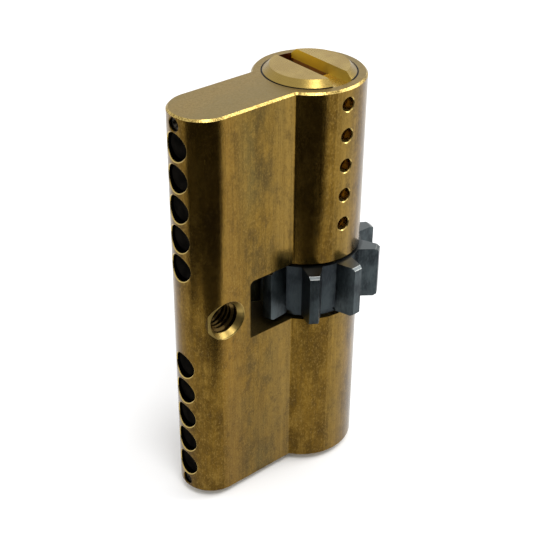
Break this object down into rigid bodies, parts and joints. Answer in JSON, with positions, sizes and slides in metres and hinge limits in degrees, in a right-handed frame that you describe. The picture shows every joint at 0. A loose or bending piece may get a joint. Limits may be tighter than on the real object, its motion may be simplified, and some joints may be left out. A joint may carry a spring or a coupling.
{
  "type": "double profile lock cylinder",
  "caption": "Brass double profile lock cylinder with a black gear cam, slotted dimple-key plugs at both ends and a threaded fixing hole in its leg.",
  "frame": {"origin": "on the barrel axis at mid length, in the middle of the cam slot, the point the two lengths of a profile cylinder are quoted from", "axes": "+Z along the barrel towards the outer plug, -X towards the leg, Y across the leg's thickness"},
  "size_m": [0.0361, 0.0236, 0.068],
  "materials": {
    "housing_brass": "satin, tarnished",
    "plug_brass": "turned",
    "pin_brass": "turned",
    "blackened_steel": "black oxide",
    "clutch_steel": "sintered",
    "pin_steel": "ground",
    "spring_steel": "drawn wire",
    "hardened_steel": "hardened",
    "cap_black": "blackened"
  },
  "bodies": {
    "housing": {"body": "housing_brass", "chamber_caps_outer": "cap_black", "chamber_caps_inner": "cap_black", "end_pin_outer": "hardened_steel", "end_pin_inner": "hardened_steel", "driver_spring_outer_1": "spring_steel", "driver_spring_outer_2": "spring_steel", "driver_spring_outer_3": "spring_steel", "driver_spring_outer_4": "spring_steel", "driver_spring_outer_5": "spring_steel", "driver_spring_inner_1": "spring_steel", "driver_spring_inner_2": "spring_steel", "driver_spring_inner_3": "spring_steel", "driver_spring_inner_4": "spring_steel", "driver_spring_inner_5": "spring_steel"},
    "outer_plug": {"plug_outer": "plug_brass", "retaining_ring_outer": "spring_steel"},
    "inner_plug": {"plug_inner": "plug_brass", "retaining_ring_inner": "spring_steel"},
    "cam": {"gear_cam": "blackened_steel"},
    "outer_clutch": {"clutch_outer": "clutch_steel", "clutch_spring": "spring_steel"},
    "inner_clutch": {"clutch_inner": "clutch_steel"},
    "key_pin_outer_1": {"key_pin_outer_1": "pin_brass"},
    "driver_pin_outer_1": {"driver_pin_outer_1": "pin_steel"},
    "side_pin_outer_1": {"side_pin_outer_1": "pin_brass"},
    "key_pin_outer_2": {"key_pin_outer_2": "pin_brass"},
    "driver_pin_outer_2": {"driver_pin_outer_2": "pin_steel"},
    "side_pin_outer_2": {"side_pin_outer_2": "pin_brass"},
    "key_pin_outer_3": {"key_pin_outer_3": "pin_brass"},
    "driver_pin_outer_3": {"driver_pin_outer_3": "pin_steel"},
    "side_pin_outer_3": {"side_pin_outer_3": "pin_brass"},
    "key_pin_outer_4": {"key_pin_outer_4": "pin_brass"},
    "driver_pin_outer_4": {"driver_pin_outer_4": "pin_steel"},
    "side_pin_outer_4": {"side_pin_outer_4": "pin_brass"},
    "key_pin_outer_5": {"key_pin_outer_5": "pin_brass"},
    "driver_pin_outer_5": {"driver_pin_outer_5": "pin_steel"},
    "side_pin_outer_5": {"side_pin_outer_5": "pin_brass"},
    "key_pin_inner_1": {"key_pin_inner_1": "pin_brass"},
    "driver_pin_inner_1": {"driver_pin_inner_1": "pin_steel"},
    "side_pin_inner_1": {"side_pin_inner_1": "pin_brass"},
    "key_pin_inner_2": {"key_pin_inner_2": "pin_brass"},
    "driver_pin_inner_2": {"driver_pin_inner_2": "pin_steel"},
    "side_pin_inner_2": {"side_pin_inner_2": "pin_brass"},
    "key_pin_inner_3": {"key_pin_inner_3": "pin_brass"},
    "driver_pin_inner_3": {"driver_pin_inner_3": "pin_steel"},
    "side_pin_inner_3": {"side_pin_inner_3": "pin_brass"},
    "key_pin_inner_4": {"key_pin_inner_4": "pin_brass"},
    "driver_pin_inner_4": {"driver_pin_inner_4": "pin_steel"},
    "side_pin_inner_4": {"side_pin_inner_4": "pin_brass"},
    "key_pin_inner_5": {"key_pin_inner_5": "pin_brass"},
    "driver_pin_inner_5": {"driver_pin_inner_5": "pin_steel"},
    "side_pin_inner_5": {"side_pin_inner_5": "pin_brass"}
  },
  "joints": [
    {"name": "outer_plug_spin", "type": "hinge", "parent": "housing", "child": "outer_plug", "pos_m": [0, 0, 0.02], "axis": [0, 0, 1], "continuous": true},
    {"name": "inner_plug_spin", "type": "hinge", "parent": "housing", "child": "inner_plug", "pos_m": [0, 0, -0.02], "axis": [0, 0, 1], "continuous": true},
    {"name": "cam_spin", "type": "hinge", "parent": "housing", "child": "cam", "pos_m": [0, 0, 0], "axis": [0, 0, 1], "continuous": true},
    {"name": "outer_clutch_slide", "type": "slide", "parent": "outer_plug", "child": "outer_clutch", "axis": [0, 0, 1], "range_m": [0, 0.00115]},
    {"name": "inner_clutch_slide", "type": "slide", "parent": "inner_plug", "child": "inner_clutch", "axis": [0, 0, 1], "range_m": [0, 0.00115]},
    {"name": "key_pin_outer_1_slide", "type": "slide", "parent": "outer_plug", "child": "key_pin_outer_1", "axis": [1, 0, 0], "range_m": [0, 0.00065]},
    {"name": "driver_pin_outer_1_slide", "type": "slide", "parent": "housing", "child": "driver_pin_outer_1", "axis": [-1, 0, 0], "range_m": [0, 0.0012], "stiffness_N_per_m": 200, "springref_m": -0.004, "deforming": ["driver_spring_outer_1"]},
    {"name": "side_pin_outer_1_slide", "type": "slide", "parent": "outer_plug", "child": "side_pin_outer_1", "axis": [0, 1, 0], "range_m": [0, 0.0005]},
    {"name": "key_pin_outer_2_slide", "type": "slide", "parent": "outer_plug", "child": "key_pin_outer_2", "axis": [1, 0, 0], "range_m": [0, 0.00125]},
    {"name": "driver_pin_outer_2_slide", "type": "slide", "parent": "housing", "child": "driver_pin_outer_2", "axis": [-1, 0, 0], "range_m": [0, 0.0012], "stiffness_N_per_m": 200, "springref_m": -0.004, "deforming": ["driver_spring_outer_2"]},
    {"name": "side_pin_outer_2_slide", "type": "slide", "parent": "outer_plug", "child": "side_pin_outer_2", "axis": [0, 1, 0], "range_m": [0, 0.0005]},
    {"name": "key_pin_outer_3_slide", "type": "slide", "parent": "outer_plug", "child": "key_pin_outer_3", "axis": [1, 0, 0], "range_m": [0, 0.00085]},
    {"name": "driver_pin_outer_3_slide", "type": "slide", "parent": "housing", "child": "driver_pin_outer_3", "axis": [-1, 0, 0], "range_m": [0, 0.0012], "stiffness_N_per_m": 200, "springref_m": -0.004, "deforming": ["driver_spring_outer_3"]},
    {"name": "side_pin_outer_3_slide", "type": "slide", "parent": "outer_plug", "child": "side_pin_outer_3", "axis": [0, 1, 0], "range_m": [0, 0.0005]},
    {"name": "key_pin_outer_4_slide", "type": "slide", "parent": "outer_plug", "child": "key_pin_outer_4", "axis": [1, 0, 0], "range_m": [0, 0.00145]},
    {"name": "driver_pin_outer_4_slide", "type": "slide", "parent": "housing", "child": "driver_pin_outer_4", "axis": [-1, 0, 0], "range_m": [0, 0.0012], "stiffness_N_per_m": 200, "springref_m": -0.004, "deforming": ["driver_spring_outer_4"]},
    {"name": "side_pin_outer_4_slide", "type": "slide", "parent": "outer_plug", "child": "side_pin_outer_4", "axis": [0, 1, 0], "range_m": [0, 0.0005]},
    {"name": "key_pin_outer_5_slide", "type": "slide", "parent": "outer_plug", "child": "key_pin_outer_5", "axis": [1, 0, 0], "range_m": [0, 0.00105]},
    {"name": "driver_pin_outer_5_slide", "type": "slide", "parent": "housing", "child": "driver_pin_outer_5", "axis": [-1, 0, 0], "range_m": [0, 0.0012], "stiffness_N_per_m": 200, "springref_m": -0.004, "deforming": ["driver_spring_outer_5"]},
    {"name": "side_pin_outer_5_slide", "type": "slide", "parent": "outer_plug", "child": "side_pin_outer_5", "axis": [0, 1, 0], "range_m": [0, 0.0005]},
    {"name": "key_pin_inner_1_slide", "type": "slide", "parent": "inner_plug", "child": "key_pin_inner_1", "axis": [1, 0, 0], "range_m": [0, 0.00065]},
    {"name": "driver_pin_inner_1_slide", "type": "slide", "parent": "housing", "child": "driver_pin_inner_1", "axis": [-1, 0, 0], "range_m": [0, 0.0012], "stiffness_N_per_m": 200, "springref_m": -0.004, "deforming": ["driver_spring_inner_1"]},
    {"name": "side_pin_inner_1_slide", "type": "slide", "parent": "inner_plug", "child": "side_pin_inner_1", "axis": [0, -1, 0], "range_m": [0, 0.0005]},
    {"name": "key_pin_inner_2_slide", "type": "slide", "parent": "inner_plug", "child": "key_pin_inner_2", "axis": [1, 0, 0], "range_m": [0, 0.00125]},
    {"name": "driver_pin_inner_2_slide", "type": "slide", "parent": "housing", "child": "driver_pin_inner_2", "axis": [-1, 0, 0], "range_m": [0, 0.0012], "stiffness_N_per_m": 200, "springref_m": -0.004, "deforming": ["driver_spring_inner_2"]},
    {"name": "side_pin_inner_2_slide", "type": "slide", "parent": "inner_plug", "child": "side_pin_inner_2", "axis": [0, -1, 0], "range_m": [0, 0.0005]},
    {"name": "key_pin_inner_3_slide", "type": "slide", "parent": "inner_plug", "child": "key_pin_inner_3", "axis": [1, 0, 0], "range_m": [0, 0.00085]},
    {"name": "driver_pin_inner_3_slide", "type": "slide", "parent": "housing", "child": "driver_pin_inner_3", "axis": [-1, 0, 0], "range_m": [0, 0.0012], "stiffness_N_per_m": 200, "springref_m": -0.004, "deforming": ["driver_spring_inner_3"]},
    {"name": "side_pin_inner_3_slide", "type": "slide", "parent": "inner_plug", "child": "side_pin_inner_3", "axis": [0, -1, 0], "range_m": [0, 0.0005]},
    {"name": "key_pin_inner_4_slide", "type": "slide", "parent": "inner_plug", "child": "key_pin_inner_4", "axis": [1, 0, 0], "range_m": [0, 0.00145]},
    {"name": "driver_pin_inner_4_slide", "type": "slide", "parent": "housing", "child": "driver_pin_inner_4", "axis": [-1, 0, 0], "range_m": [0, 0.0012], "stiffness_N_per_m": 200, "springref_m": -0.004, "deforming": ["driver_spring_inner_4"]},
    {"name": "side_pin_inner_4_slide", "type": "slide", "parent": "inner_plug", "child": "side_pin_inner_4", "axis": [0, -1, 0], "range_m": [0, 0.0005]},
    {"name": "key_pin_inner_5_slide", "type": "slide", "parent": "inner_plug", "child": "key_pin_inner_5", "axis": [1, 0, 0], "range_m": [0, 0.00105]},
    {"name": "driver_pin_inner_5_slide", "type": "slide", "parent": "housing", "child": "driver_pin_inner_5", "axis": [-1, 0, 0], "range_m": [0, 0.0012], "stiffness_N_per_m": 200, "springref_m": -0.004, "deforming": ["driver_spring_inner_5"]},
    {"name": "side_pin_inner_5_slide", "type": "slide", "parent": "inner_plug", "child": "side_pin_inner_5", "axis": [0, -1, 0], "range_m": [0, 0.0005]}
  ],
  "couplings": [
    {"joint": "cam_spin", "follows": "outer_plug_spin", "ratio": 1},
    {"joint": "inner_clutch_slide", "follows": "outer_clutch_slide", "ratio": 1}
  ]
}
